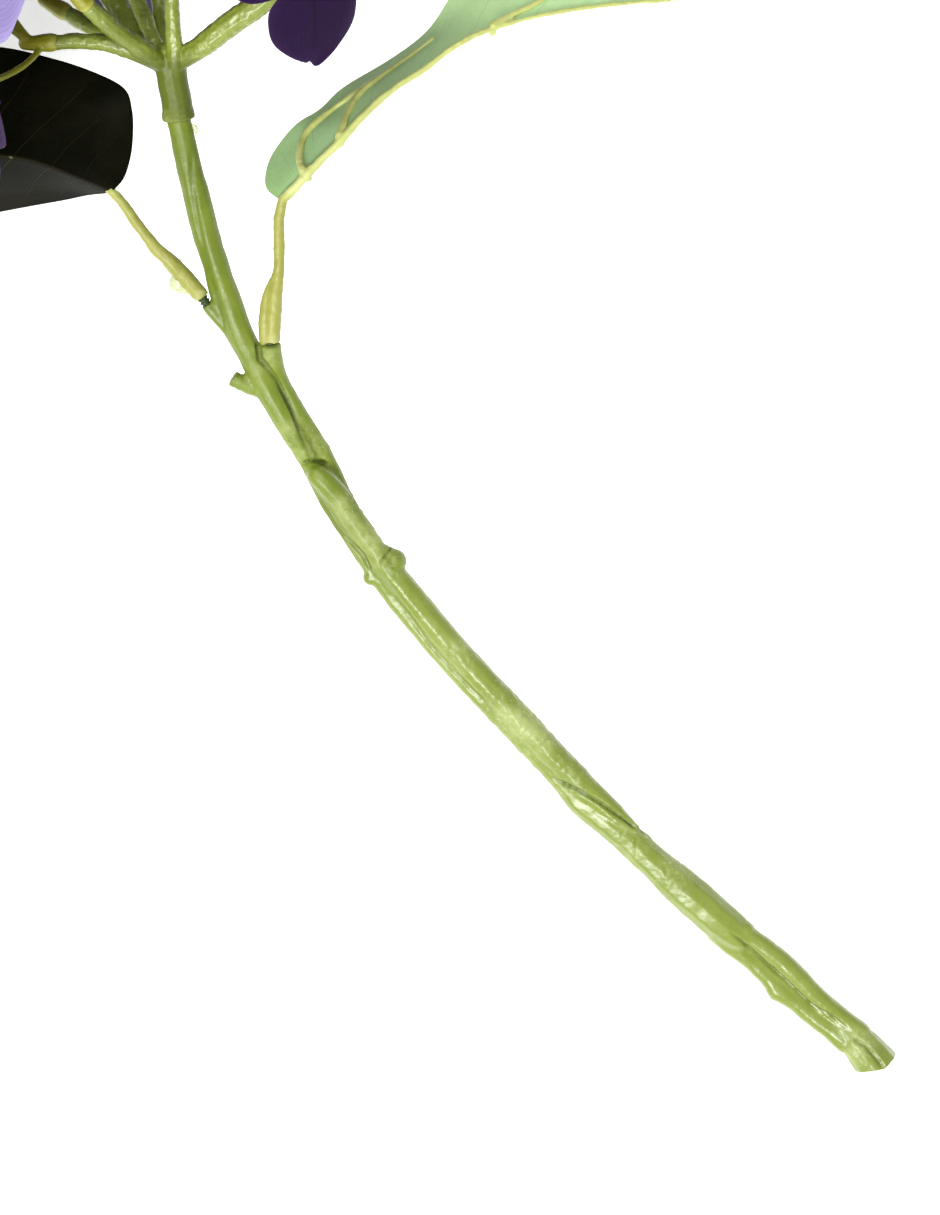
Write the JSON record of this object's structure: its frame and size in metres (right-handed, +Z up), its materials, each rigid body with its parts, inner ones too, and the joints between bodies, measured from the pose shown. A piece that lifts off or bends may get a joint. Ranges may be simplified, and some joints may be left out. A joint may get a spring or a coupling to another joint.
{
  "type": "artificial cut hydrangea spray",
  "caption": "Artificial hydrangea spray lying on a surface: a bundled green stalk, a branching head of four-petal florets and two formed leaves.",
  "frame": {"origin": "middle of the bottom of the box, on the surface that the spray lies on", "axes": "+Y from the cut end towards the flower head, +Z up from the surface, +X to the right with the head away from the viewer"},
  "size_m": [0.3058, 0.3758, 0.1542],
  "materials": {
    "stalk": "moulded soft plastic, satin gloss with rough and speckled patches",
    "wire": "drawn steel wire, cut end",
    "branch": "moulded soft plastic, glossy, fine speckle",
    "pedicel": "moulded soft plastic, yellow-green, satin",
    "petiole": "moulded soft plastic, pale yellow-green, satin",
    "peg": "dark green ribbed plastic",
    "leaf_upper": "coated polyester, very dark green, satin with brownish veins",
    "leaf_under": "coated polyester, pale green underside, matt",
    "petal_lilac": "printed polyester, lilac with a purple middle",
    "petal_aubergine": "printed polyester, dark purple with fine veins"
  },
  "bodies": {
    "root": {"branch_head": "branch", "floret_01": "petal_aubergine", "floret_02": "petal_lilac", "floret_03": "petal_lilac", "floret_04": "petal_aubergine", "floret_05": "petal_lilac", "floret_06": "petal_lilac", "floret_07": "petal_aubergine", "floret_08": "petal_lilac", "floret_09": "petal_lilac", "floret_10": "petal_lilac", "floret_11": "petal_aubergine", "floret_12": "petal_lilac", "floret_13": "petal_lilac", "floret_14": "petal_lilac", "floret_15": "petal_lilac", "floret_16": "petal_aubergine", "floret_17": "petal_lilac", "floret_18": "petal_lilac", "floret_19": "petal_lilac", "floret_20": "petal_lilac", "floret_21": "petal_aubergine", "floret_22": "petal_lilac", "floret_23": "petal_lilac", "floret_24": "petal_lilac", "floret_25": "petal_lilac", "floret_26": "petal_aubergine", "floret_27": "petal_lilac", "floret_28": "petal_lilac", "floret_29": "petal_lilac", "floret_30": "petal_lilac", "floret_31": "petal_aubergine", "floret_32": "petal_lilac", "floret_33": "petal_lilac", "floret_34": "petal_lilac", "floret_35": "petal_lilac", "floret_36": "petal_lilac", "left_leaf_blade": "leaf_upper", "left_leaf_peg": "peg", "left_petiole": "petiole", "pedicel_cluster_1": "pedicel", "pedicel_cluster_2": "pedicel", "pedicel_cluster_3": "pedicel", "pedicel_cluster_4": "pedicel", "pedicel_cluster_5": "pedicel", "pedicel_cluster_6": "pedicel", "pedicel_cluster_7": "pedicel", "pedicel_cluster_8": "pedicel", "right_leaf_blade": "leaf_under", "right_leaf_peg": "peg", "right_petiole": "petiole", "stem": "stalk", "stem_wire": "wire"}
  },
  "joints": []
}
